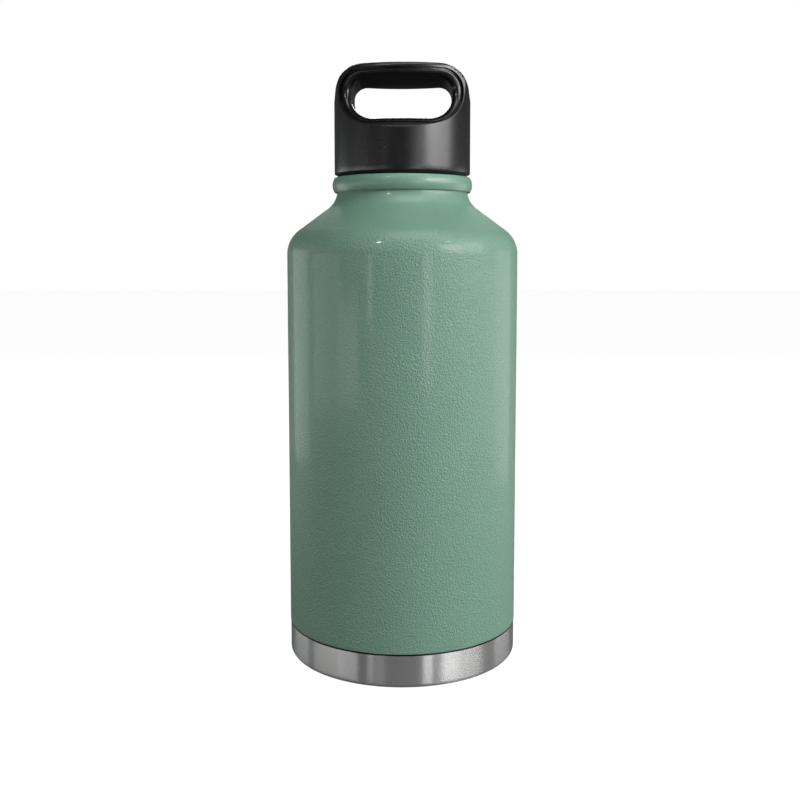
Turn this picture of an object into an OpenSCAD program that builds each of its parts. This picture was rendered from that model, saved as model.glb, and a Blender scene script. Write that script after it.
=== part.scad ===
// Growler: a double-wall steel bottle with a screw lid that has a finger slot through it.
// Millimetres, +Z up, origin at the middle of the foot, finger slot along Y.

/* [Body] */
// Outside diameter of the coated body
body_d = 116; // [114:1:118]
// Height at which the straight wall ends and the shoulder starts
wall_top = 203.2; // [190:0.1:212]
// Thickness of the coated outer sheet
sheet = 0.8; // [0.6:0.1:1]
// Height at which the coat ends and the bare base shows
coat_edge = 16.5; // [14:0.5:20]
// How far the bare base stands in from the coat
coat_step = 0.2; // [0.1:0.1:0.4]
// Radius of the base's lower corner
base_round = 2.5; // [2:0.5:3.5]
// Diameter of the flat ring that the bottle stands on, at its outside
foot_d = 106; // [103:1:107]
// Depth of the hollow under the base
foot_hollow = 2.6; // [2:0.1:3]

/* [Shoulder and neck] */
// Radius of the shoulder's outward bend
shoulder_round = 15; // [13:0.5:17]
// Slope of the shoulder, in degrees from level
shoulder_slope = 36.4; // [35:0.1:38]
// Radius of the inward bend under the neck
neck_round = 12; // [11:0.5:13]
// Outside diameter of the neck, just under the collar
neck_d = 65.2; // [65:0.1:66]
// Outside diameter of the collar, at its widest
collar_d = 70.2; // [69.6:0.1:71]
// Radius of the collar's bulging face
collar_bulge = 6.5; // [6:0.1:7]

/* [Vacuum bottle] */
// Distance from the outer face of the body to the outer face of the inner vessel
wall_gap = 4.3; // [4.1:0.1:4.3]
// Thickness of the inner sheet
inner_sheet = 0.6; // [0.5:0.1:0.6]
// Height of the inner vessel's lower rim
inner_foot = 12; // [11.5:0.1:13]
// Thickness of the radiation foil
foil = 0.2; // [0.1:0.05:0.3]

/* [Screw thread] */
// Rise of the thread in one full turn
thread_lead = 8; // [8:0.5:8]
// Number of thread starts
thread_starts = 2; // [2:1:2]
// Height of a thread ridge above its wall
thread_h = 1.1; // [0.9:0.05:1.15]
// Clearance between a ridge and the wall that it faces
thread_gap = 0.3; // [0.25:0.05:0.35]
// Diameter of the threaded mouth, without its ridges
mouth_d = 58.4; // [58.4:0.1:58.5]
// Height of the mouth's lip above the collar
mouth_h = 16.7; // [16.5:0.1:17]

/* [Lid] */
// Outside diameter of the lid
lid_d = 68; // [67.8:0.1:68.4]
// Height of the lid's black shell
lid_h = 51.9; // [51.5:0.1:52.3]
// Radius of the lid's two upper corners, seen from the front
lid_corner = 15.4; // [15:0.1:16]
// Radius of the rounded edge all round the lid's top
lid_edge = 1.8; // [1.2:0.1:2]
// Wall thickness of the lid's shell
lid_wall = 2; // [1.8:0.1:2]
// Gap between the collar and the lid's shell, where the tapered rim shows
lid_gap = 1.7; // [1.6:0.1:2]

/* [Handle] */
// Depth of the handle from front to back, at its middle
handle_depth = 47.2; // [46:0.2:49]
// Radius of the handle's front and back faces, seen from above
handle_bulge = 54; // [52:1:56]
// Height over the lid's lower edge at which the scoops start to curve out
scoop_start = 42.2; // [41.8:0.1:42.6]
// Radius of the scoops' curve, seen from the side
scoop_round = 28.6; // [28:0.1:29.2]

/* [Finger slot] */
// Width of the slot at its narrowest
slot_w = 49.4; // [48:0.2:50]
// Height of the slot at its narrowest
slot_h = 20.4; // [18:0.2:20.6]
// Thickness of the bar over the slot
slot_bar = 6.4; // [6.3:0.1:6.6]
// Corner radii of the slot, upper and lower
slot_corners = [7, 12]; // [5:0.5:12]
// How far the liner's rim reaches out from the slot, at the sides, top and bottom
rim_reach = [4.5, 3, 2.5]; // [2.3:0.1:4.5]
// How far the shadow gap round the rim reaches on from it, at the sides, top and bottom
shadow_reach = [1.1, 1, 0.9]; // [0.8:0.1:1.1]
// Depth of the shadow gap round the rim
shadow_depth = 1.3; // [1:0.1:1.4]

/* [Hidden] */
$fn = 96;

eps = 0.05;
steps = 10;

body_r = body_d / 2;
neck_r = neck_d / 2;
collar_r = collar_d / 2;
lid_r = lid_d / 2;
mouth_r = mouth_d / 2;
foot_r = foot_d / 2;

// The shoulder is an outward arc, a straight cone and an inward arc, tangent to each other.
bend = 90 - shoulder_slope;
shoulder_c = [body_r - shoulder_round, wall_top];
neck_c = [
    neck_r + neck_round,
    wall_top + (shoulder_round + neck_round
        - cos(bend) * (neck_r + neck_round - body_r + shoulder_round)) / sin(bend),
];

// The collar is a bead whose face is part of a circle, with a small flat edge over it. The neck's
// inward bend stops neck_end degrees short of upright, where the collar starts.
collar_half = 33;
collar_lift = 1.95;
collar_edge = 0.2;
collar_z = neck_c[1] + collar_lift;
collar_top = collar_z + collar_bulge * sin(collar_half) + collar_edge;
collar_in = collar_r - collar_bulge * (1 - cos(collar_half));
neck_end = 8;

// Heights above the collar.
lip = collar_top + mouth_h;
lid_z = collar_top + lid_gap;
lid_top = lid_z + lid_h;

// The lid's core hangs a threaded skirt round the mouth and a plug inside it. The skirt's rim
// tapers out to the shell, and stops short of the collar by rim_gap.
core_r = lid_r - lid_wall - eps;
core_in = mouth_r + thread_h + thread_gap;
rim_gap = 0.15;
rim_low = collar_top + rim_gap;
rim_in = core_in + 0.7;
rim_out = lid_r - 0.6;
gasket_h = 2.25;
gasket_gap = 0.3;
crown_z = lip + gasket_h + eps;
crown_h = 2.2;
crown_edge = 1;
plug_r = mouth_r - 2.6;
plug_wall = 1.6;
plug_depth = 7.4;
plug_z = lip - plug_depth;
plate_h = 0.7;
plate_wall = 0.4;
plate_rim = 2.4;

// The thread's ridges, on the mouth and in the lid: where they start, how far they run round and how
// deep their roots are buried.
thread_z = collar_top + 4.2;
mouth_turns = 1.05;
mouth_bury = 0.5;
lid_turns = 0.8;
lid_bury = 0.6;

// The neck's bore, left by the inner vessel's own neck, which ends under the rolled lip.
inner_neck_r = neck_r - wall_gap;
bore_r = inner_neck_r - inner_sheet;
lip_tuck = 0.8;
weld_h = 2.4;

// The inner vessel is a tube with a shoulder welded on its top at seam_z and a dished bottom in its foot.
vessel_inset = wall_gap + inner_sheet;
seam_z = wall_top - 5;
foil_low = inner_foot + 8;
foil_top = wall_top - 6;
foil_gap = 0.15;

// The base, from the table up. Its cup is turned in at its top and laps inside the outer sheet, and
// the hollow under it starts at hollow_r, on a slope hollow_slope wide.
cup_r = body_r - coat_step;
cup_wall = 0.7;
cup_top = coat_edge - 0.2;
foot_w = 4;
hollow_slope = 4;
hollow_r = foot_r - foot_w - hollow_slope;
lap_r = body_r - sheet - eps;
lap_h = 6;
bottom_r = lap_r - cup_wall - eps;
bottom_z = 5.6;
bottom_wall = 0.8;
bottom_round = 5;
dimple_r = 7;
dimple_flat = 5;
dimple_depth = 1.2;
seal_hole_r = 1.5;
seal_r = 3.4;
seal_top = bottom_z + dimple_depth + bottom_wall;
getter_r = 30;
clip_r = 4.2;
clip_sheet = 0.4;
clip_room = 1.9;
clip_mouth = 3;

function arc(c, r, from, to, n = steps) =
    [for (i = [0:n]) c + r * [cos(from + (to - from) * i / n), sin(from + (to - from) * i / n)]];

// The shoulder's outline, moved inward by d, from the straight wall up to the neck.
function shoulder(d, last = 0) = concat(
    arc(shoulder_c, shoulder_round - d, 0, bend),
    arc(neck_c, -(neck_round + d), bend, last)
);

// The collar's outline, moved inward by d, from its underside to its top.
function collar(d) = arc([collar_r - collar_bulge, collar_z], collar_bulge - d, -collar_half, collar_half);

function reversed(list) = [for (i = [len(list) - 1:-1:0]) list[i]];

// An upright outline with level top and bottom, as [x, z] points. Its corners shrink to fit its height,
// and its level runs are made of this many pieces.
function slot_outline(half_w, low, high, corners, pieces = 1, n = 9) = let (
    c = corners * min(1, 0.98 * (high - low) / (corners[0] + corners[1])),
    run = [for (i = [1:1:pieces - 1]) 1 - 2 * i / pieces]
) concat(
    arc([half_w - c[0], high - c[0]], c[0], 0, 90, n),
    [for (t = run) [(half_w - c[0]) * t, high]],
    arc([-half_w + c[0], high - c[0]], c[0], 90, 180, n),
    arc([-half_w + c[1], low + c[1]], c[1], 180, 270, n),
    [for (t = run) [(c[1] - half_w) * t, low]],
    arc([half_w - c[1], low + c[1]], c[1], 270, 360, n)
);

slot_high = lid_top - slot_bar;
slot_low = slot_high - slot_h;
slot_edge = slot_outline(slot_w / 2, slot_low, slot_high, slot_corners, 8);
rim_corners = slot_corners + [3, 5.5];
rim_edge = slot_outline(slot_w / 2 + rim_reach[0], slot_low - rim_reach[2], slot_high + rim_reach[1],
    rim_corners, 8);
opening_edge = slot_outline(slot_w / 2 + rim_reach[0] + eps, slot_low - rim_reach[2] - eps,
    slot_high + rim_reach[1] + eps, rim_corners);
shadow_edge = slot_outline(slot_w / 2 + rim_reach[0] + shadow_reach[0],
    slot_low - rim_reach[2] - shadow_reach[2], slot_high + rim_reach[1] + shadow_reach[1],
    rim_corners + [1, 1]);

// The scoops turn about two upright axes, behind and before the lid's own. Their outline comes
// down the handle's face and then curves out to the lid's wall.
scoop_axis = handle_bulge - handle_depth / 2;
scoop_c = [handle_bulge + scoop_round, lid_z + scoop_start];

// How far the scoops' outline stands out from the handle's face at a height.
function flare(z) = z > scoop_c[1]
    ? 0
    : scoop_round - sqrt(max(0, pow(scoop_round, 2) - pow(scoop_c[1] - z, 2)));

// Where the scooped face stands, in front of the lid's middle, at [x, z] and sunk by a depth.
function face_y(q, sunk) =
    sqrt(pow(handle_bulge + flare(q[1]) - sunk, 2) - q[0] * q[0]) - scoop_axis;

// The liner's rim: how far across from rim to slot, and how far sunk below the scooped face.
rim_peak = 0.15;
rim_sunk = 0.4;
rim_root = 1.6;
slot_root = 5;
rim_profile = concat(
    [[0, 3.2]],
    [for (a = [90:-22.5:22.5]) [rim_peak * (1 - sin(a)), rim_root - (rim_root - rim_sunk) * cos(a)]],
    [for (a = [0:15:90]) [rim_peak + (1 - rim_peak) * sin(a), slot_root - (slot_root - rim_sunk) * cos(a)]]
);

// A solid whose rings of points close on each other both ways, like a ring doughnut.
module closed_loft(rings) {
    m = len(rings);
    n = len(rings[0]);
    polyhedron(
        points = [for (ring = rings) each ring],
        faces = [for (i = [0:m - 1]) for (j = [0:n - 1]) let (
            a = i * n + j,
            b = i * n + (j + 1) % n,
            c = ((i + 1) % m) * n + (j + 1) % n,
            d = ((i + 1) % m) * n + j
        ) each [[a, b, c], [a, c, d]]],
        convexity = 6
    );
}

// One helical ridge on a round wall, outward for a height above 0 and inward below it.
// Its ends sink into the wall, and bury is how far its root does.
module ridge(wall_r, height, bury, z, turn_from, turns) {
    per_turn = 36;
    n = round(per_turn * turns);
    fade = 4;
    root_half = 0.95;
    crest_half = 0.5;
    way = sign(height);
    rings = [for (i = [0:n]) let (
        angle = turn_from + 360 * turns * i / n,
        rise = z + thread_lead * turns * i / n,
        part = min(1, i / fade, (n - i) / fade),
        root = wall_r - way * bury,
        crest = wall_r + height * part - way * (1 - part) * bury / 2,
        half = way > 0 ? [root_half, crest_half] : [crest_half, root_half]
    ) [for (p = [
        [min(root, crest), -half[0]], [max(root, crest), -half[1]],
        [max(root, crest), half[1]], [min(root, crest), half[0]],
    ]) [p[0] * cos(angle), p[0] * sin(angle), rise + p[1]]]];
    polyhedron(
        points = [for (ring = rings) each ring],
        faces = concat(
            [[0, 2, 1], [0, 3, 2]],
            [for (i = [0:n - 1]) for (j = [0:3]) let (
                a = i * 4 + j,
                b = i * 4 + (j + 1) % 4
            ) each [[a, b + 4, a + 4], [a, b, b + 4]]],
            [[n * 4 + 3, n * 4 + 1, n * 4 + 2], [n * 4 + 3, n * 4, n * 4 + 1]]
        ),
        convexity = 8
    );
}

// An upright outline pushed through the whole lid along Y.
module through(points) {
    rotate([90, 0, 0])
        linear_extrude(height = 3 * lid_r, center = true)
            polygon(points);
}

// What is cut from a round lid's two upper corners, seen from the front, to leave it drawn in by d.
module lid_corners(d) {
    half = lid_r - d + eps;
    high = lid_top - d;
    corner = lid_corner - d;
    for (side = [-1, 1])
        through(concat(
            [for (p = arc([half - corner, high - corner], corner, 0, 90)) [side * p[0], p[1]]],
            [[side * (half - corner), high + 5], [side * (half + 5), high + 5]],
            [[side * (half + 5), high - corner]]
        ));
}

// What is cut from the lid's front and back, drawn in by d, to leave the handle between them.
module scoops(d) {
    far = scoop_c[0] + 5;
    for (side = [-1, 1])
        translate([0, side * scoop_axis, 0])
            rotate_extrude()
                polygon(concat(
                    [[handle_bulge - d, lid_top + 1]],
                    arc(scoop_c, scoop_round + d, 180, 270),
                    [[far, scoop_c[1] - scoop_round - d], [far, lid_top + 1]]
                ));
}

// What is cut from the top of the handle's front and back faces to round their upper edges.
module handle_edges() {
    far = scoop_c[0] + 5;
    edge_c = [handle_bulge - lid_edge, lid_top - lid_edge];
    for (side = [-1, 1])
        translate([0, side * scoop_axis, 0])
            rotate_extrude()
                polygon(concat(
                    [[edge_c[0], lid_top + 1]],
                    reversed(arc(edge_c, lid_edge, 0, 90, 6)),
                    [[far, edge_c[1]], [far, lid_top + 1]]
                ));
}

// Coated outer sheet: straight wall, shoulder, neck and collar.
module outer_shell() {
    color([0.42, 0.55, 0.48])
        rotate_extrude()
            polygon(concat(
                [[body_r - sheet, coat_edge], [body_r, coat_edge]],
                shoulder(0, neck_end),
                collar(0),
                [[collar_in - 0.4, collar_top], [mouth_r + eps, collar_top]],
                [[mouth_r + eps, collar_top - sheet], [collar_in - sheet, collar_top - sheet]],
                reversed(collar(sheet)),
                reversed(shoulder(sheet, neck_end))
            ));
}

// Bare pressed cup that closes the bottle below, lapped inside the outer sheet.
module base_cup() {
    corner = [cup_r - base_round, base_round];
    slope_end = hollow_r + hollow_slope;
    color([0.72, 0.72, 0.71])
        rotate_extrude()
            polygon(concat(
                [[0, foot_hollow], [hollow_r, foot_hollow], [slope_end, 0], [foot_r, 0]],
                arc(corner, base_round, -75, 0),
                [[cup_r, cup_top], [lap_r, cup_top], [lap_r, coat_edge + lap_h]],
                [[lap_r - cup_wall, coat_edge + lap_h], [lap_r - cup_wall, cup_top - cup_wall]],
                [[cup_r - cup_wall, cup_top - cup_wall]],
                reversed(arc(corner, base_round - cup_wall, -75, 0)),
                [[foot_r, cup_wall], [slope_end, cup_wall], [hollow_r, foot_hollow + cup_wall]],
                [[0, foot_hollow + cup_wall]]
            ));
}

// Structural bottom of the vacuum space, with the dimple that it is pumped out through.
module vacuum_bottom() {
    corner = [bottom_r - bottom_round, bottom_z + bottom_round];
    dimple_z = bottom_z + dimple_depth;
    top = coat_edge + lap_h - 1;
    color([0.62, 0.62, 0.62])
        rotate_extrude()
            polygon(concat(
                [[seal_hole_r, dimple_z], [dimple_flat, dimple_z], [dimple_r, bottom_z]],
                arc(corner, bottom_round, -90, 0),
                [[bottom_r, top], [bottom_r - bottom_wall, top]],
                reversed(arc(corner, bottom_round - bottom_wall, -90, 0)),
                [[dimple_r, bottom_z + bottom_wall], [dimple_flat, dimple_z + bottom_wall]],
                [[seal_hole_r, dimple_z + bottom_wall]]
            ));
}

// Bead that seals the pumping hole, in the dimple.
module vacuum_seal() {
    stem_r = seal_hole_r - eps;
    head_top = bottom_z + dimple_depth - eps;
    color([0.35, 0.36, 0.38])
        rotate_extrude()
            polygon([
                [0, bottom_z + 0.2], [0.75 * seal_r, bottom_z + 0.5], [seal_r, head_top],
                [stem_r, head_top], [stem_r, seal_top], [0, seal_top],
            ]);
}

// Spring clip that holds the getter on the vacuum bottom.
module getter_holder() {
    top = bottom_z + bottom_wall;
    color([0.75, 0.75, 0.74])
        translate([getter_r, 0, top])
            difference() {
                union() {
                    cylinder(r = clip_r + 1.2, h = clip_sheet);
                    cylinder(r = clip_r + clip_sheet, h = clip_room + 2 * clip_sheet);
                }
                translate([0, 0, clip_sheet])
                    cylinder(r = clip_r, h = clip_room);
                translate([0, 0, clip_room])
                    cylinder(r = clip_mouth, h = clip_room);
            }
}

// Pellet that takes up stray gas in the vacuum space.
module getter_pellet() {
    color([0.25, 0.25, 0.27])
        translate([getter_r, 0, bottom_z + bottom_wall + clip_sheet + eps])
            cylinder(r = clip_r - 0.1, h = clip_room - 0.15);
}

// Straight tube of the inner vessel.
module inner_vessel() {
    color([0.78, 0.78, 0.77])
        rotate_extrude()
            polygon([
                [body_r - vessel_inset, inner_foot], [body_r - wall_gap, inner_foot],
                [body_r - wall_gap, seam_z - eps], [body_r - vessel_inset, seam_z - eps],
            ]);
}

// Inner vessel's shoulder, and the neck that runs up from it to the lip.
module inner_shoulder() {
    color([0.80, 0.80, 0.79])
        rotate_extrude()
            polygon(concat(
                [[body_r - vessel_inset, seam_z], [body_r - wall_gap, seam_z]],
                shoulder(wall_gap),
                [[inner_neck_r, lip - lip_tuck], [bore_r, lip - lip_tuck]],
                reversed(shoulder(vessel_inset))
            ));
}

// Domed bottom of the inner vessel, with a rim welded inside the tube.
module inner_bottom() {
    r = body_r - vessel_inset - eps;
    round_r = 8;
    rim_h = 9.4;
    dome = 2;
    dome_r = r - round_r - 6;
    corner = [r - round_r, inner_foot + round_r - inner_sheet];
    color([0.75, 0.75, 0.74])
        rotate_extrude()
            polygon(concat(
                [[0, inner_foot + dome - inner_sheet], [dome_r, corner[1] - round_r + 0.1]],
                arc(corner, round_r, -90, 0),
                [[r, inner_foot + rim_h], [r - inner_sheet, inner_foot + rim_h]],
                reversed(arc(corner, round_r - inner_sheet, -90, 0)),
                [[dome_r, inner_foot + 0.1], [0, inner_foot + dome]]
            ));
}

// Reflecting foil wound round the inner vessel.
module radiation_foil() {
    r = body_r - wall_gap + foil_gap;
    color([0.80, 0.48, 0.33])
        translate([0, 0, foil_low])
            difference() {
                cylinder(r = r + foil, h = foil_top - foil_low);
                translate([0, 0, -1])
                    cylinder(r = r, h = foil_top);
            }
}

// Threaded steel mouth with a rolled lip, welded into the collar and round the inner neck.
module neck_finish() {
    wall_in = inner_neck_r + eps;
    low = collar_top - weld_h;
    lip_c = (mouth_r + bore_r) / 2;
    lip_half = (mouth_r - bore_r) / 2;
    color([0.74, 0.74, 0.73])
        union() {
            rotate_extrude()
                polygon(concat(
                    [[wall_in, low], [mouth_r, low]],
                    arc([lip_c, lip - lip_half], lip_half, 0, 180),
                    [[bore_r, lip - lip_tuck + eps], [wall_in, lip - lip_tuck + eps]]
                ));
            for (s = [0:thread_starts - 1])
                ridge(mouth_r, thread_h, mouth_bury, thread_z, s * 360 / thread_starts, mouth_turns);
        }
}

// Moulded black shell of the lid, hollow and open below, with the slot's opening through it.
module lid_shell() {
    color([0.09, 0.09, 0.10])
        difference() {
            rotate_extrude()
                polygon(concat(
                    [[0, lid_z], [lid_r - 0.5, lid_z], [lid_r, lid_z + 0.5]],
                    arc([lid_r - lid_edge, lid_top - lid_edge], lid_edge, 0, 90, 6),
                    [[0, lid_top]]
                ));
            lid_corners(0);
            scoops(0);
            handle_edges();
            difference() {
                translate([0, 0, lid_z - 1])
                    cylinder(r = lid_r - lid_wall, h = lid_h - lid_wall + 1);
                lid_corners(lid_wall);
                scoops(lid_wall);
            }
            through(opening_edge);
            intersection() {
                through(shadow_edge);
                scoops(shadow_depth);
            }
        }
}

// Sleeve that lines the finger slot, with a rounded rim at each end that follows the handle's face.
module slot_liner() {
    half = [for (p = rim_profile) [for (j = [0:len(rim_edge) - 1]) let (
        q = rim_edge[j] * (1 - p[0]) + slot_edge[j] * p[0]
    ) [q[0], -face_y(q, p[1]), q[1]]]];
    rear = [for (ring = reversed(half)) [for (p = ring) [p[0], -p[1], p[2]]]];
    color([0.07, 0.07, 0.08])
        closed_loft(concat(half, rear));
}

// Inner part of the lid: tapered rim, threaded skirt, crown and plug wall.
module lid_core() {
    color([0.06, 0.06, 0.07])
        union() {
            rotate_extrude()
                polygon([
                    [core_in, rim_low], [rim_in, rim_low], [rim_out, lid_z - eps],
                    [core_r, lid_z - eps], [core_r, crown_z + crown_h - crown_edge],
                    [core_r - crown_edge, crown_z + crown_h], [0, crown_z + crown_h],
                    [0, crown_z], [plug_r - plug_wall, crown_z], [plug_r - plug_wall, plug_z],
                    [plug_r, plug_z], [plug_r, crown_z], [core_in, crown_z],
                ]);
            for (s = [0:thread_starts - 1])
                ridge(core_in, -thread_h, lid_bury, thread_z + thread_lead / (2 * thread_starts),
                    s * 360 / thread_starts, lid_turns);
        }
}

// Insulating puck inside the plug.
module lid_foam() {
    color([0.93, 0.92, 0.86])
        translate([0, 0, plug_z + eps])
            cylinder(r = plug_r - plug_wall - 0.1, h = crown_z - plug_z - 2 * eps);
}

// Steel cap pressed over the plug's lower end, facing the drink.
module lid_plate() {
    hold_r = plug_r + eps;
    edge = plate_h - plate_wall;
    color([0.76, 0.76, 0.75])
        rotate_extrude()
            polygon([
                [0, plug_z - plate_h], [hold_r - edge, plug_z - plate_h],
                [hold_r + plate_wall, plug_z - edge], [hold_r + plate_wall, plug_z + plate_rim],
                [hold_r, plug_z + plate_rim], [hold_r, plug_z], [0, plug_z],
            ]);
}

// Silicone ring between the lid's crown and the lip.
module lid_gasket() {
    inner = plug_r + gasket_gap;
    outer = mouth_r;
    color([0.20, 0.21, 0.22])
        translate([0, 0, lip + eps])
            difference() {
                cylinder(r = outer, h = gasket_h);
                translate([0, 0, -1])
                    cylinder(r = inner, h = gasket_h + 2);
            }
}

outer_shell();
base_cup();
vacuum_bottom();
vacuum_seal();
getter_holder();
getter_pellet();
inner_vessel();
inner_shoulder();
inner_bottom();
radiation_foil();
neck_finish();
lid_shell();
slot_liner();
lid_core();
lid_foam();
lid_plate();
lid_gasket();
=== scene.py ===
"""Looks for the growler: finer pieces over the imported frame, procedural materials, studio light and camera.

Four CAD nodes are replaced by finer meshes made here; the others keep their shape and get a material.
Meshes are worked out in millimetres and materials in metres.
"""
import math

import bmesh
import bpy
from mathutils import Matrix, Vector


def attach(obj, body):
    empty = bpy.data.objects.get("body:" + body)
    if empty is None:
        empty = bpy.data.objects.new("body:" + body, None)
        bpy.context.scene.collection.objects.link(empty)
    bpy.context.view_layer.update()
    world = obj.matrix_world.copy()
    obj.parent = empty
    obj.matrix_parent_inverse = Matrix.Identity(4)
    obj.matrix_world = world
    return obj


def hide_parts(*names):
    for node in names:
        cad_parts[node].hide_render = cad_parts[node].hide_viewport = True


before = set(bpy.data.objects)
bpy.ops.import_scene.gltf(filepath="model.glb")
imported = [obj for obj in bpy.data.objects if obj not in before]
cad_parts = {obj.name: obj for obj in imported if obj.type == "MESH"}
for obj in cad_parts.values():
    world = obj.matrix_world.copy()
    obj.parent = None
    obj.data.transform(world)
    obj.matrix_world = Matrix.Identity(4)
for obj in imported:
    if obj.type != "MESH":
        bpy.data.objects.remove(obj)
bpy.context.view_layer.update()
scene = bpy.context.scene
MM = 0.001


# ---------------------------------------------------------------- geometry helpers

NEARLY_STRAIGHT = 176  # degrees between two sides, above which a corner isn't rounded
LONGEST_CUT = 0.45     # the share of a side that one rounded corner may use
SHARP_EDGE = 40        # degrees between two faces, above which their edge is sharp


def arc(center, radius, start, end, steps):
    """Points on a circle's arc, angles in degrees."""
    out = []
    for i in range(steps + 1):
        a = math.radians(start + (end - start) * i / steps)
        out.append((center[0] + radius * math.cos(a), center[1] + radius * math.sin(a)))
    return out


def rounded(points, radii, steps=5):
    """An outline with its corners rounded; radii holds one radius per corner, 0 for sharp."""
    out = []
    n = len(points)
    for i in range(n):
        p = Vector(points[i])
        r = radii[i]
        if r <= 0:
            out.append(tuple(p))
            continue
        a = Vector(points[i - 1]) - p
        b = Vector(points[(i + 1) % n]) - p
        la, lb = a.length, b.length
        a.normalize()
        b.normalize()
        half = math.acos(max(-1.0, min(1.0, a.dot(b)))) / 2
        if half > math.radians(NEARLY_STRAIGHT / 2):
            out.append(tuple(p))
            continue
        cut = min(r / math.tan(half), la * LONGEST_CUT, lb * LONGEST_CUT)
        r = cut * math.tan(half)
        c = p + (a + b).normalized() * (r / math.sin(half))
        v0 = p + a * cut - c
        v1 = p + b * cut - c
        turn = v0.angle_signed(v1)
        for k in range(steps + 1):
            t = -turn * k / steps
            out.append((c.x + v0.x * math.cos(t) - v0.y * math.sin(t),
                        c.y + v0.x * math.sin(t) + v0.y * math.cos(t)))
    return out


def shade_smooth(mesh, sharp_angle):
    for poly in mesh.polygons:
        poly.use_smooth = True
    mesh.set_sharp_from_angle(angle=math.radians(sharp_angle))


def new_mesh(name, verts, faces, sharp_angle=SHARP_EDGE):
    """An object from vertices in millimetres."""
    mesh = bpy.data.meshes.new(name)
    mesh.from_pydata([(x * MM, y * MM, z * MM) for x, y, z in verts], [], faces)
    mesh.validate()
    mesh.update()
    obj = bpy.data.objects.new(name, mesh)
    scene.collection.objects.link(obj)
    shade_smooth(mesh, sharp_angle)
    return obj


def lathe(name, outline, columns, sharp_angle=SHARP_EDGE):
    """Turns a closed (r, z) outline, in millimetres, about the Z axis."""
    verts, index = [], []
    for r, z in outline:
        if r < 1e-6:
            index.append([len(verts)] * columns)
            verts.append((0, 0, z))
            continue
        index.append([len(verts) + j for j in range(columns)])
        for j in range(columns):
            a = 2 * math.pi * j / columns
            verts.append((r * math.cos(a), r * math.sin(a), z))
    faces = []
    for i in range(len(outline)):
        low, high = index[i], index[(i + 1) % len(outline)]
        for j in range(columns):
            k = (j + 1) % columns
            face = []
            for v in (low[j], low[k], high[k], high[j]):
                if v not in face:
                    face.append(v)
            if len(face) > 2:
                faces.append(face)
    return new_mesh(name, verts, faces, sharp_angle)


def ring_solid(name, rings, sharp_angle=SHARP_EDGE, close=True):
    """Joins rings of equally many points, in millimetres.

    The last ring joins the first when close is set; otherwise a face closes each end.
    """
    n = len(rings[0])
    m = len(rings)
    faces = []
    for i in range(m if close else m - 1):
        a, b = i * n, ((i + 1) % m) * n
        for j in range(n):
            k = (j + 1) % n
            faces.append((a + j, a + k, b + k, b + j))
    if not close:
        faces.append(tuple(reversed(range(n))))
        faces.append(tuple(range((m - 1) * n, m * n)))
    return new_mesh(name, [p for ring in rings for p in ring], faces, sharp_angle)


def face_outwards(obj):
    """Makes every face of a closed mesh look outwards."""
    bm = bmesh.new()
    bm.from_mesh(obj.data)
    bmesh.ops.recalc_face_normals(bm, faces=bm.faces)
    bm.to_mesh(obj.data)
    bm.free()


# ---------------------------------------------------------------- the growler's sizes, in millimetres

BODY_R = 58.0
WALL_TOP = 203.2                # where the straight wall ends
SHEET = 0.8                     # coat and outer sheet together
COAT_EDGE = 16.5                # the coat's lower edge
COAT_HEM = 0.35                 # the radius that the coat's lower edge is rounded to
SHOULDER_C = (43.0, WALL_TOP)   # centres are (r, z)
SHOULDER_R = 15.0
SHOULDER_BEND = 53.6            # degrees that the outline turns in over the shoulder
NECK_C = (44.6, 235.57)
NECK_ROUND = 12.0
NECK_END = 8                    # degrees left when the neck reaches the collar
COLLAR_C = (28.6, 237.52)
COLLAR_R = 6.5
COLLAR_FROM = -33               # degrees
COLLAR_TO = 27
COLLAR_BACK = 33                # where the collar's inner face ends, degrees
COLLAR_TOP = 241.26
CREST_C = (33.55, 240.5)
CREST_R = 0.75
MOUTH_R = 29.2
ROOM = 0.05                     # left between the coated sheet and the steel inside it

CUP_R = 57.8
CUP_ROUND = 2.5
CUP_WALL = 0.7
CUP_LAP = 6                     # how far the cup goes up inside the coated sheet
CUP_HEM = 0.15
CUP_SHELF = 0.9                 # from the coat's edge down to the underside of the cup's step
FOOT_R = 53.0
FOOT_WIDE = 6                   # from the foot's outer edge to the middle of its inner slope
FOOT_SLOPE = 2                  # half the width of that slope
FOOT_DEEP = 2.6                 # height of the hollow under the base
GROOVE = 0.5                    # the gap between the coat's edge and the cup's top

LID_R = 34.0
LID_Z = 242.955
LID_TOP = 294.855
LID_EDGE = 1.8                  # the top's rounded edge
LID_CORNER = 15.4               # the handle's upper corners, seen from the front
LID_WALL = 2.0
HANDLE_HALF = 23.6              # half the handle's depth, front to back
HANDLE_BULGE = 54.0             # radius of the handle's front and back faces, seen from above
SCOOP_AXIS = HANDLE_BULGE - HANDLE_HALF
SCOOP_START = LID_Z + 42.2      # below this height the faces flare out to the round wall
SCOOP_ROUND = 28.6
LID_SHARP = 32                  # degrees

SLOT_HIGH = LID_TOP - 6.4
SLOT_LOW = SLOT_HIGH - 20.4
SLOT_HALF = 24.7
GAP_DEPTH = 1.3

COLUMNS = 224                   # round the bottle


# ---------------------------------------------------------------- bottle

def shoulder_line(inset=0.0):
    """The coated sheet's outline from the straight wall up to the neck, moved in by inset."""
    line = arc(SHOULDER_C, SHOULDER_R - inset, 0, SHOULDER_BEND, 24)
    line += arc(NECK_C, -(NECK_ROUND + inset), SHOULDER_BEND, NECK_END, 20)
    return line


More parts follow.
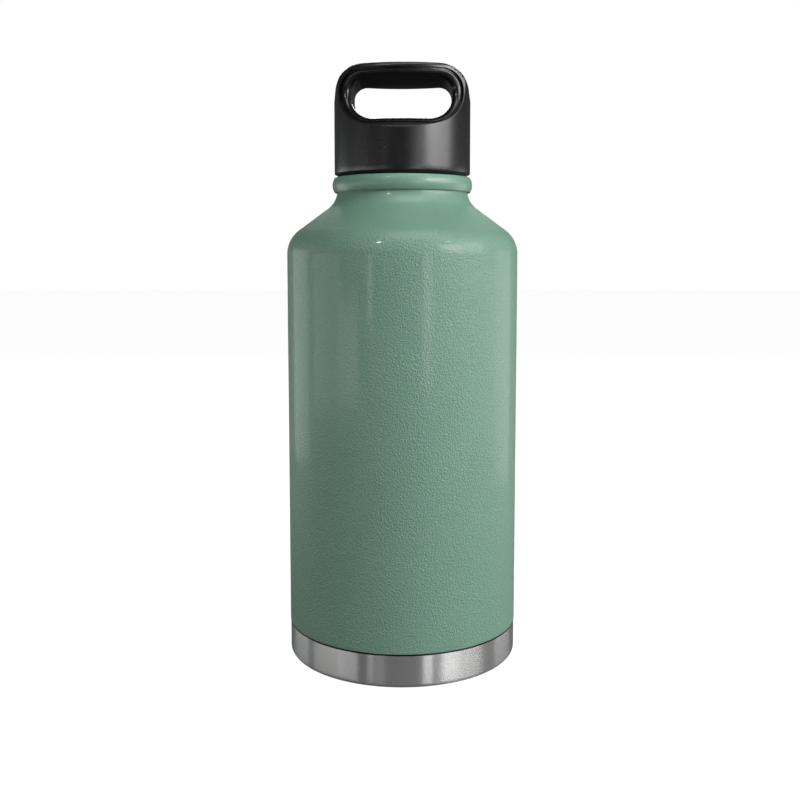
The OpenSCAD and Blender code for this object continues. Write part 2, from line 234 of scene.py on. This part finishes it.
def coat_outline():
    wall_rows, wall_foot = 40, 18
    outer = [(BODY_R - 0.45, COAT_EDGE)]
    outer += arc((BODY_R - COAT_HEM, COAT_EDGE + 0.4), COAT_HEM, -75, 0, 5)
    outer += [(BODY_R, wall_foot + (WALL_TOP - wall_foot) * i / wall_rows) for i in range(wall_rows)]
    outer += shoulder_line()
    outer += arc(COLLAR_C, COLLAR_R, COLLAR_FROM, COLLAR_TO, 22)
    outer += arc(CREST_C, CREST_R, 20, 90, 6)
    outer += [(MOUTH_R + ROOM, COLLAR_TOP), (MOUTH_R + ROOM, COLLAR_TOP - SHEET)]
    outer += reversed(arc(COLLAR_C, COLLAR_R - SHEET, COLLAR_FROM, COLLAR_BACK, 12))
    outer += reversed(shoulder_line(SHEET))
    outer += [(BODY_R - SHEET, COAT_EDGE)]
    return outer


def base_outline():
    slope = FOOT_R - FOOT_WIDE
    top = COAT_EDGE - GROOVE
    lap_r = BODY_R - SHEET - ROOM
    lap_top = COAT_EDGE + CUP_LAP
    shelf = COAT_EDGE - CUP_SHELF
    round_c = (CUP_R - CUP_ROUND, CUP_ROUND)
    under = [(0, FOOT_DEEP), (slope - FOOT_SLOPE, FOOT_DEEP), (slope + FOOT_SLOPE, 0.0), (FOOT_R, 0.0)]
    out = rounded(under, [0, 1.5, 1.2, 0])
    out += arc(round_c, CUP_ROUND, -75, 0, 14)
    out += [(CUP_R, 8.0), (CUP_R, 12.0), (CUP_R, top - CUP_HEM), (CUP_R - CUP_HEM, top), (lap_r, top)]
    out += [(lap_r, lap_top), (lap_r - CUP_WALL, lap_top), (lap_r - CUP_WALL, shelf)]
    out += [(CUP_R - CUP_WALL, shelf)]
    out += reversed(arc(round_c, CUP_ROUND - CUP_WALL, -75, 0, 8))
    out += [(FOOT_R, CUP_WALL), (slope + FOOT_SLOPE, CUP_WALL)]
    out += [(slope - FOOT_SLOPE, FOOT_DEEP + CUP_WALL), (0, FOOT_DEEP + CUP_WALL)]
    return out


coat = lathe("powder_coated_shell", coat_outline(), COLUMNS, 50)
face_outwards(coat)
base = lathe("bare_base_cup", base_outline(), COLUMNS, 35)
face_outwards(base)


# ---------------------------------------------------------------- lid shell

def soft_min(a, b, k):
    """The smaller of a and b, with the change from one to the other smoothed over about k."""
    h = max(k - abs(a - b), 0.0)
    return min(a, b) - h * h / (4 * k)


def flare(z, inset=0.0):
    """How far the scoops stand out from the handle's face at height z, inset into the wall."""
    d = SCOOP_START - z
    if d <= 0:
        return -inset
    return SCOOP_ROUND - math.sqrt(max(0.0, (SCOOP_ROUND + inset) ** 2 - d * d))


def face_y(x, z, sunk):
    """Where the scooped face stands in front of the lid's middle at x, z, sunk by a depth."""
    return math.sqrt((HANDLE_BULGE + flare(z) - sunk) ** 2 - x * x) - SCOOP_AXIS


def lid_reach(side, z, inset, blend, corner_blend):
    """Distance from the lid's axis to its surface, at an angle from the front and a height."""
    c, s = math.cos(side), math.sin(side)
    reach = LID_R - inset
    high = LID_TOP - LID_CORNER
    if z > high:
        rise = min(z - high, LID_CORNER - inset)
        half = LID_R - LID_CORNER + math.sqrt((LID_CORNER - inset) ** 2 - rise * rise)
        reach = soft_min(reach, half / max(abs(s), 1e-4), corner_blend)
    big = HANDLE_BULGE + flare(z, inset)
    along = -SCOOP_AXIS * abs(c)
    scoop = along + math.sqrt(max(0.0, along * along - SCOOP_AXIS ** 2 + big * big))
    return soft_min(reach, scoop, blend)


def edge_height(side):
    """Height at which the scoop leaves the lid's round wall, at an angle from the front."""
    y = LID_R * abs(math.cos(side))
    big = math.sqrt(LID_R ** 2 + SCOOP_AXIS ** 2 + 2 * SCOOP_AXIS * y)
    out = big - HANDLE_BULGE
    if out <= 0:
        return SCOOP_START
    return SCOOP_START - math.sqrt(max(0.0, SCOOP_ROUND ** 2 - (SCOOP_ROUND - out) ** 2))


def lid_sides():
    """Angles from the front that the lid's columns stand at, closest at the handle's upright edges."""
    y = (SCOOP_AXIS ** 2 + LID_R ** 2 - HANDLE_BULGE ** 2) / (2 * SCOOP_AXIS)
    turn = math.degrees(math.acos(-y / LID_R))
    quarter = [turn * i / 44 for i in range(43)]
    quarter += [turn + d for d in (-0.9, -0.55, -0.25, 0, 0.25, 0.55, 0.9)]
    quarter += [turn + 1.6 + (90 - turn - 1.6) * i / 16 for i in range(17)]
    half = quarter + [180 - a for a in reversed(quarter[:-1])]
    full = half + [360 - a for a in reversed(half[1:-1])]
    return [math.radians(a) for a in full]


def build_lid_shell():
    """The lid's outer moulding: rings over the outside from the foot to the top, and back down inside."""
    sides = lid_sides()
    fillet = [math.radians(a) for a in (15, 30, 45, 60, 75, 90)]

    def ring(level, inset, extra, blend=0.35, corner_blend=1.6):
        out = []
        for a in sides:
            z = level(a)
            r = lid_reach(a, z, inset, blend, corner_blend) - extra
            out.append((r * math.sin(a), -r * math.cos(a), z))
        return out

    low_steps = [0.0, 0.1, 0.22, 0.36, 0.5, 0.64, 0.77, 0.87, 0.94]
    near = [-1.0, -0.6, -0.35, -0.15, 0, 0.15, 0.35, 0.6, 1.0]
    high_steps = [0.03, 0.08, 0.14, 0.21, 0.29, 0.38, 0.47, 0.56, 0.65, 0.74, 0.83, 0.92, 1.0]
    floor_z = LID_Z + 0.5
    top_z = LID_TOP - LID_EDGE
    clear = 1.3
    outer = [ring(lambda a: LID_Z, 0, 0.45), ring(lambda a: LID_Z + 0.06, 0, 0.2),
             ring(lambda a: LID_Z + 0.2, 0, 0.06)]
    for t in low_steps:
        outer.append(ring(lambda a, t=t: floor_z + (edge_height(a) - clear - floor_z) * t, 0, 0))
    for d in near:
        outer.append(ring(lambda a, d=d: edge_height(a) + d, 0, 0))
    for t in high_steps:
        outer.append(ring(lambda a, t=t: edge_height(a) + clear + (top_z - edge_height(a) - clear) * t, 0, 0))
    for f in fillet:
        outer.append(ring(lambda a, f=f: top_z + LID_EDGE * math.sin(f), 0, LID_EDGE * (1 - math.cos(f))))
    last = outer[-1]
    for k in (0.94, 0.85, 0.7, 0.5, 0.3, 0.12):
        outer.append([(x * k, y * k, LID_TOP) for x, y, _ in last])
    inner = []
    in_top = LID_TOP - LID_WALL
    inner_rows = 24
    for i in range(inner_rows + 1):
        z = LID_Z + (in_top - LID_Z) * i / inner_rows
        inner.append(ring(lambda a, z=z: z, LID_WALL, 0, 0.2, 0.8))
    inner += [[(x * k, y * k, in_top) for x, y, _ in inner[-1]] for k in (0.6, 0.15)]
    rings = list(reversed(inner)) + outer
    return ring_solid("lid_shell_moulding", rings, LID_SHARP, close=False)


def slot_line(half, low, high, corners, steps=16, level=30):
    """An upright outline round the slot, as x, z points; corners are the upper and the lower radius."""
    c0, c1 = corners
    shrink = min(1.0, 0.98 * (high - low) / (c0 + c1))
    c0, c1 = c0 * shrink, c1 * shrink
    out = arc((half - c0, high - c0), c0, 0, 90, steps)
    out += [((half - c0) * (1 - 2 * i / level), high) for i in range(1, level)]
    out += arc((-half + c0, high - c0), c0, 90, 180, steps)
    out += arc((-half + c1, low + c1), c1, 180, 270, steps)
    out += [((c1 - half) * (1 - 2 * i / level), low) for i in range(1, level)]
    out += arc((half - c1, low + c1), c1, 270, 360, steps)
    return out


RIM_LINE = slot_line(SLOT_HALF + 4.5, SLOT_LOW - 2.5, SLOT_HIGH + 3.0, (10, 17.5))
OPEN_LINE = slot_line(SLOT_HALF + 4.55, SLOT_LOW - 2.55, SLOT_HIGH + 3.05, (10, 17.5))
GAP_LINE = slot_line(SLOT_HALF + 5.6, SLOT_LOW - 3.4, SLOT_HIGH + 4.0, (11, 18.5))
SLOT_LINE = slot_line(SLOT_HALF, SLOT_LOW, SLOT_HIGH, (7, 12))


def build_cutter():
    """What is taken from the lid's shell for the slot's liner and the shadow gap round its rim."""
    def at(line, depth, back=False):
        sign = 1 if back else -1
        return [(x, sign * face_y(x, z, depth), z) for x, z in line]
    beyond = 60.0
    rings = [[(x, -beyond, z) for x, z in GAP_LINE], at(GAP_LINE, GAP_DEPTH), at(OPEN_LINE, GAP_DEPTH),
             at(OPEN_LINE, GAP_DEPTH, True), at(GAP_LINE, GAP_DEPTH, True),
             [(x, beyond, z) for x, z in GAP_LINE]]
    return ring_solid("slot_cutter", rings, close=False)


def cut_away(obj, tool):
    """Takes tool out of obj, and removes tool."""
    cut = obj.modifiers.new("slot", "BOOLEAN")
    cut.operation = "DIFFERENCE"
    cut.solver = "EXACT"
    cut.object = tool
    bpy.context.view_layer.objects.active = obj
    obj.select_set(True)
    bpy.ops.object.modifier_apply(modifier="slot")
    obj.select_set(False)
    bpy.data.objects.remove(tool)


shell = build_lid_shell()
face_outwards(shell)
cutter = build_cutter()
face_outwards(cutter)
cut_away(shell, cutter)
shade_smooth(shell.data, LID_SHARP)


# ---------------------------------------------------------------- slot liner

def rim_section():
    """The liner's rim as (share of the way from its outer edge to the slot, depth under the face)."""
    peak, sunk, root, slot_depth = 0.15, 0.4, 1.6, 5.0
    out = [(0.0, 3.2)]
    for i in range(7):
        a = math.radians(90 - 80 * i / 6)
        out.append((peak * (1 - math.sin(a)), root - (root - sunk) * math.cos(a)))
    for i in range(15):
        a = math.radians(90 * i / 14)
        out.append((peak + (1 - peak) * math.sin(a), slot_depth - (slot_depth - sunk) * math.cos(a)))
    return out


def build_liner():
    """The slot's sleeve, a closed ring: front rim, the way through, and rear rim."""
    front = []
    for share, depth in rim_section():
        ring = []
        for (x0, z0), (x1, z1) in zip(RIM_LINE, SLOT_LINE):
            x, z = x0 + (x1 - x0) * share, z0 + (z1 - z0) * share
            ring.append((x, -face_y(x, z, depth), z))
        front.append(ring)
    middle = []
    for t in (0.75, 0.5, 0.25, 0.0, -0.25, -0.5, -0.75):
        middle.append([(x, y * t, z) for x, y, z in front[-1]])
    rear = [[(x, -y, z) for x, y, z in ring] for ring in reversed(front)]
    return ring_solid("slot_liner_rim", front + middle + rear, 60)


liner = build_liner()
face_outwards(liner)


# ---------------------------------------------------------------- materials

class Shader:
    """A small helper that builds one procedural material over object coordinates, in metres."""

    def __init__(self, name, roughness, metallic=0.0, **constants):
        self.material = bpy.data.materials.new(name)
        self.material.use_nodes = True
        self.tree = self.material.node_tree
        self.bsdf = self.tree.nodes["Principled BSDF"]
        self.bsdf.inputs["Metallic"].default_value = metallic
        self.bsdf.inputs["Roughness"].default_value = roughness
        for key, value in constants.items():
            self.bsdf.inputs[key.replace("_", " ")].default_value = value
        self.place = self.node("ShaderNodeTexCoord").outputs["Object"]
        self.split = self.node("ShaderNodeSeparateXYZ")
        self.link(self.place, self.split.inputs[0])

    def node(self, kind):
        return self.tree.nodes.new(kind)

    def link(self, a, b):
        self.tree.links.new(a, b)

    def scaled(self, x, y, z):
        """The object's coordinates, scaled differently along each axis."""
        m = self.node("ShaderNodeMapping")
        m.inputs["Scale"].default_value = (x, y, z)
        self.link(self.place, m.inputs["Vector"])
        return m.outputs[0]

    def noise(self, scale, detail=2.0, rough=0.5, vector=None):
        n = self.node("ShaderNodeTexNoise")
        n.inputs["Scale"].default_value = scale
        n.inputs["Detail"].default_value = detail
        n.inputs["Roughness"].default_value = rough
        self.link(vector or self.place, n.inputs["Vector"])
        return n.outputs["Fac"]

    def voronoi(self, scale):
        n = self.node("ShaderNodeTexVoronoi")
        n.feature = "SMOOTH_F1"
        n.inputs["Scale"].default_value = scale
        n.inputs["Smoothness"].default_value = 0.6
        self.link(self.place, n.inputs["Vector"])
        return n.outputs["Distance"]

    def span(self, value, low, high, to_low=0.0, to_high=1.0):
        """A smooth step from to_low to to_high while value goes from low to high."""
        n = self.node("ShaderNodeMapRange")
        n.interpolation_type = "SMOOTHSTEP"
        for key, v in (("From Min", low), ("From Max", high), ("To Min", to_low), ("To Max", to_high)):
            n.inputs[key].default_value = v
        self.link(value, n.inputs["Value"])
        return n.outputs["Result"]

    def math(self, kind, a, b):
        n = self.node("ShaderNodeMath")
        n.operation = kind
        for i, v in enumerate((a, b)):
            if isinstance(v, (int, float)):
                n.inputs[i].default_value = v
            else:
                self.link(v, n.inputs[i])
        return n.outputs[0]

    def mix(self, factor, a, b):
        n = self.node("ShaderNodeMix")
        n.data_type = "RGBA"
        self.link(factor, n.inputs["Factor"])
        color_a, color_b, color_out = n.inputs[6], n.inputs[7], n.outputs[2]
        for socket, v in ((color_a, a), (color_b, b)):
            if isinstance(v, tuple):
                socket.default_value = (*v, 1.0)
            else:
                self.link(v, socket)
        return color_out

    def weighed(self, a, share_a, b, share_b):
        return self.math("ADD", self.math("MULTIPLY", a, share_a), self.math("MULTIPLY", b, share_b))

    def color(self, value):
        self.link(value, self.bsdf.inputs["Base Color"])

    def roughness(self, value):
        self.link(value, self.bsdf.inputs["Roughness"])

    def bump(self, height, depth, strength=1.0):
        """Bumps of depth metres; strength is a number or another node's output."""
        n = self.node("ShaderNodeBump")
        n.inputs["Distance"].default_value = depth
        if isinstance(strength, (int, float)):
            n.inputs["Strength"].default_value = strength
        else:
            self.link(strength, n.inputs["Strength"])
        self.link(height, n.inputs["Height"])
        self.link(n.outputs["Normal"], self.bsdf.inputs["Normal"])


def green_coat():
    """Pebbled powder coat, smoother above the shoulder's lower bend."""
    m = Shader("green_powder_coat", 0.44, IOR=1.5, Coat_Weight=0.22, Coat_Roughness=0.13)
    pebbled = m.span(m.split.outputs["Z"], 0.209, 0.216, 1.0, 0.30)
    grain = m.noise(1400, 2.5, 0.55)
    pits = m.voronoi(1150)
    fine = m.noise(3300, 1.0, 0.5)
    height = m.math("ADD", m.weighed(grain, 0.7, pits, 0.45), m.math("MULTIPLY", fine, 0.2))
    m.bump(height, 0.00052, pebbled)
    drift = m.span(m.noise(14, 2.0), 0.3, 0.7)
    tone = m.mix(drift, (0.126, 0.246, 0.180), (0.140, 0.266, 0.197))
    speck = m.span(grain, 0.35, 0.7)
    tone = m.mix(m.math("MULTIPLY", speck, 0.3), tone, (0.200, 0.335, 0.260))
    hollow = m.span(pits, 0.05, 0.4, 0.0, 0.25)
    tone = m.mix(hollow, tone, (0.115, 0.215, 0.160))
    m.color(tone)
    m.roughness(m.span(grain, 0.3, 0.75, 0.50, 0.38))
    return m.material


def brushed(name, light, dark, rough_low, rough_high, across=5200, anisotropic=0.75, edge=False):
    """Steel brushed round the Z axis, with a grain of scale across up the wall."""
    m = Shader(name, rough_low, 1.0, Anisotropic=anisotropic, Anisotropic_Rotation=0.25)
    tangent = m.node("ShaderNodeTangent")
    tangent.direction_type = "RADIAL"
    tangent.axis = "Z"
    m.link(tangent.outputs[0], m.bsdf.inputs["Tangent"])
    lines = m.noise(1.0, 3.0, 0.6, m.scaled(30, 30, across))
    wide = m.noise(1.0, 2.0, 0.5, m.scaled(12, 12, across / 9))
    drift = m.noise(30, 3.0)
    tone = m.mix(m.span(m.weighed(lines, 0.6, drift, 0.4), 0.35, 0.65), dark, light)
    rough = m.span(wide, 0.35, 0.65, rough_low, rough_high)
    if edge:
        # Painted shade in the gap under the coat's edge: the steel just under the coat is painted almost
        # black, and made duller.
        gap_shade = m.span(m.split.outputs["Z"], (COAT_EDGE - 0.75) * MM, (COAT_EDGE - 0.6) * MM)
        tone = m.mix(gap_shade, tone, (0.03, 0.032, 0.03))
        rough = m.math("ADD", rough, m.math("MULTIPLY", gap_shade, 0.4))
    m.color(tone)
    m.roughness(rough)
    m.bump(lines, 0.0000004, 0.5)
    return m.material


def black_plastic(name, tone, rough, grain_depth, ior=1.55, dull_and_shaded_under=False):
    """Black moulding with a fine grain, slightly polished in patches by handling; optionally with painted
    shade on faces that look down.
    """
    m = Shader(name, rough, 0.0, IOR=ior)
    scale = 2600
    grain = m.noise(scale, 2.0, 0.6)
    coarse = m.noise(scale / 3.2, 2.0, 0.5)
    m.bump(m.weighed(grain, 0.6, coarse, 0.5), grain_depth)
    rub = m.span(m.noise(70, 4.0, 0.6), 0.45, 0.75)
    shade = m.mix(rub, tone, tuple(c * 1.7 for c in tone))
    sheen = m.math("ADD", m.span(rub, 0, 1, rough, rough - 0.03), m.span(coarse, 0.3, 0.7, -0.02, 0.03))
    if dull_and_shaded_under:
        # Faces that look straight down, such as the slot's ceiling, get painted shade: their colour is
        # darkened almost to black. They are also made rougher, left dull by the mould.
        facing = m.node("ShaderNodeSeparateXYZ")
        m.link(m.node("ShaderNodeTexCoord").outputs["Normal"], facing.inputs[0])
        under = m.span(facing.outputs["Z"], -0.96, -0.75, 1.0, 0.0)
        shade = m.mix(under, shade, (0.001, 0.001, 0.001))
        sheen = m.math("ADD", sheen, m.math("MULTIPLY", under, 0.6))
    m.color(shade)
    m.roughness(sheen)
    return m.material


def speckled(name, light, dark, rough, scale, depth, metallic=0.0):
    """A grain of two tones, with the roughness and the bumps following it."""
    m = Shader(name, rough, metallic)
    grain = m.noise(scale, 3.0, 0.6)
    m.color(m.mix(m.span(grain, 0.3, 0.7), dark, light))
    m.roughness(m.span(grain, 0.3, 0.7, rough - 0.06, rough + 0.06))
    m.bump(grain, depth, 0.8)
    return m.material


coat_look = green_coat()
# The base steel carries painted shade in the gap under the coat's edge.
steel_look = brushed("brushed_base_steel", (0.77, 0.765, 0.76), (0.74, 0.735, 0.73), 0.262, 0.267,
                     anisotropic=1.0, edge=True)
inner_look = brushed("satin_inner_steel", (0.72, 0.715, 0.71), (0.60, 0.60, 0.59), 0.24, 0.34, 2600, 0.5)
mouth_look = brushed("turned_mouth_steel", (0.70, 0.695, 0.69), (0.58, 0.575, 0.57), 0.16, 0.26, 7000, 0.5)
shell_look = black_plastic("black_lid_plastic", (0.006, 0.006, 0.0065), 0.31, 0.00004)
# The liner's faces that look down get painted shade, darkened almost to black.
liner_look = black_plastic("black_liner_plastic", (0.006, 0.006, 0.007), 0.25, 0.00002,
                           ior=1.45, dull_and_shaded_under=True)
core_look = black_plastic("black_core_plastic", (0.008, 0.008, 0.009), 0.36, 0.00003)
foil_look = speckled("copper_foil", (0.85, 0.50, 0.34), (0.70, 0.38, 0.25), 0.22, 160, 0.0002, 1.0)
getter_look = speckled("sintered_getter", (0.10, 0.10, 0.11), (0.05, 0.05, 0.055), 0.7, 2200, 0.0001, 1.0)
seal_look = speckled("dull_solder", (0.34, 0.35, 0.37), (0.22, 0.23, 0.25), 0.45, 900, 0.0001, 1.0)
foam_look = speckled("closed_cell_foam", (0.88, 0.86, 0.78), (0.74, 0.72, 0.64), 0.85, 1400, 0.0002)
silicone_look = speckled("soft_silicone", (0.055, 0.055, 0.06), (0.035, 0.035, 0.04), 0.55, 1800, 0.00004)


def dress(obj, look):
    obj.data.materials.clear()
    obj.data.materials.append(look)


def dress_node(name, look):
    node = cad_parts[name]
    if not node.material_slots:
        node.data.materials.append(look)
    for slot in node.material_slots:
        slot.material = look


for piece, look in ((coat, coat_look), (base, steel_look), (shell, shell_look), (liner, liner_look)):
    dress(piece, look)

NODE_LOOKS = {
    "vacuum_bottom": inner_look,
    "vacuum_seal": seal_look,
    "getter_holder": inner_look,
    "getter_pellet": getter_look,
    "inner_vessel": inner_look,
    "inner_shoulder": inner_look,
    "inner_bottom": inner_look,
    "radiation_foil": foil_look,
    "neck_finish": mouth_look,
    "lid_core": core_look,
    "lid_foam": foam_look,
    "lid_plate": inner_look,
    "lid_gasket": silicone_look,
}
for node_name, look in NODE_LOOKS.items():
    dress_node(node_name, look)

for piece, body, node_name, slot in (
    (coat, "bottle", "outer_shell", "green_coat"),
    (base, "bottle", "base_cup", "base_steel"),
    (shell, "lid", "lid_shell", "lid_plastic"),
    (liner, "lid", "slot_liner", "liner_plastic"),
):
    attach(piece, body)
    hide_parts(node_name)


# ---------------------------------------------------------------- studio

TURN = math.radians(1.6)  # the camera stands this far to the right of the growler's front


def around(azimuth, distance, height):
    """A place round the growler, with the azimuth in degrees to the right of the camera."""
    a = math.radians(azimuth) + TURN
    return Vector((distance * math.sin(a), -distance * math.cos(a), height))


def softbox(name, azimuth, distance, height, width, tall, radiance, aim_z=0.15, color=(1.0, 1.0, 1.0)):
    """A rectangular light aimed at the growler's axis at aim_z. The camera doesn't see it."""
    light = bpy.data.lights.new(name, "AREA")
    light.shape = "RECTANGLE"
    light.size = width
    light.size_y = tall
    light.energy = radiance * math.pi * width * tall
    light.color = color
    obj = bpy.data.objects.new(name, light)
    scene.collection.objects.link(obj)
    obj.location = around(azimuth, distance, height)
    aim = Vector((0, 0, aim_z)) - obj.location
    obj.rotation_euler = aim.to_track_quat("-Z", "Y").to_euler()
    obj.visible_camera = False


# Azimuth, distance, height, width, tall, radiance, and the aim's height where it isn't 0.15; in metres.
softbox("key_right", 62, 1.0, 0.52, 0.85, 0.56, 5.9)
softbox("key_high", 48, 1.0, 0.56, 0.36, 0.28, 8.5)
softbox("key_wide", 66, 1.1, 0.52, 1.30, 0.80, 0.6)
softbox("key_edge", 24, 1.0, 0.17, 0.15, 0.30, 5.8)
softbox("rim_right", 112, 0.45, 0.11, 0.24, 0.26, 2.2, 0.11)
softbox("fill_left", -77, 0.9, 0.12, 0.54, 0.26, 2.5)
softbox("rim_left", -115, 0.45, 0.14, 0.24, 0.24, 2.4, 0.14, color=(0.91, 1.0, 0.95))
softbox("strip_left", -52, 1.0, 0.07, 0.34, 0.14, 4.2)
softbox("strip_front", -30, 1.0, 0.17, 0.07, 0.14, 7.0)
softbox("spark", -26, 0.9, 0.95, 0.04, 0.06, 260.0)
softbox("spark_right", 52, 0.9, 0.95, 0.04, 0.06, 90.0)
softbox("overhead", 20, 0.5, 1.35, 0.8, 0.6, 3.8, 0.2)
softbox("behind", 180, 1.2, 0.85, 0.7, 0.5, 7.0)


def build_world():
    """White to the camera, and a dim room to everything else, slightly lighter behind the growler."""
    world = bpy.data.worlds.new("studio")
    scene.world = world
    world.use_nodes = True
    tree = world.node_tree
    tree.nodes.clear()
    room = tree.nodes.new("ShaderNodeBackground")
    white = tree.nodes.new("ShaderNodeBackground")
    white.inputs["Color"].default_value = (1, 1, 1, 1)
    white.inputs["Strength"].default_value = 1.0
    place = tree.nodes.new("ShaderNodeTexCoord")
    axis = tree.nodes.new("ShaderNodeSeparateXYZ")
    ramp = tree.nodes.new("ShaderNodeMapRange")
    ramp.interpolation_type = "SMOOTHSTEP"
    for key, value in (("From Min", 0.10), ("From Max", 0.35), ("To Min", 0.06), ("To Max", 0.10)):
        ramp.inputs[key].default_value = value
    path = tree.nodes.new("ShaderNodeLightPath")
    swap = tree.nodes.new("ShaderNodeMixShader")
    out = tree.nodes.new("ShaderNodeOutputWorld")
    tree.links.new(place.outputs["Generated"], axis.inputs[0])
    tree.links.new(axis.outputs["Y"], ramp.inputs["Value"])
    tree.links.new(ramp.outputs["Result"], room.inputs["Strength"])
    tree.links.new(path.outputs["Is Camera Ray"], swap.inputs[0])
    tree.links.new(room.outputs[0], swap.inputs[1])
    tree.links.new(white.outputs[0], swap.inputs[2])
    tree.links.new(swap.outputs[0], out.inputs["Surface"])


def build_floor():
    """A matte floor that is almost white to the camera and dark grey in reflections."""
    half, grey = 6, 0.11
    mesh = bpy.data.meshes.new("studio_floor")
    corners = [(-half, -half, 0), (half, -half, 0), (half, half, 0), (-half, half, 0)]
    mesh.from_pydata(corners, [], [(0, 1, 2, 3)])
    floor = bpy.data.objects.new("studio_floor", mesh)
    scene.collection.objects.link(floor)
    look = bpy.data.materials.new("pale_floor")
    look.use_nodes = True
    tree = look.node_tree
    bsdf = tree.nodes["Principled BSDF"]
    bsdf.inputs["Base Color"].default_value = (grey, grey, grey, 1)
    bsdf.inputs["Roughness"].default_value = 0.7
    glow = tree.nodes.new("ShaderNodeEmission")
    glow.inputs["Strength"].default_value = 0.96
    path = tree.nodes.new("ShaderNodeLightPath")
    add = tree.nodes.new("ShaderNodeAddShader")
    tree.links.new(path.outputs["Is Camera Ray"], glow.inputs["Color"])
    tree.links.new(bsdf.outputs[0], add.inputs[0])
    tree.links.new(glow.outputs[0], add.inputs[1])
    tree.links.new(add.outputs[0], tree.nodes["Material Output"].inputs["Surface"])
    mesh.materials.append(look)
    return floor


build_world()
floor = build_floor()

scene.view_settings.view_transform = "Standard"
scene.view_settings.look = "None"

CAMERA_DISTANCE = 0.52185
CAMERA_HEIGHT = 0.20171
CAMERA_DOWN = 5.277  # degrees below the horizon
camera_data = bpy.data.cameras.new("camera")
camera_data.sensor_width = 36
camera_data.lens = 46.106
camera_data.shift_x = -0.0029
camera_data.shift_y = -0.06
camera_data.clip_start = 0.01
camera = bpy.data.objects.new("camera", camera_data)
scene.collection.objects.link(camera)
camera.location = around(0, CAMERA_DISTANCE, CAMERA_HEIGHT)
camera.rotation_euler = (math.radians(90 - CAMERA_DOWN), 0, TURN)
scene.camera = camera
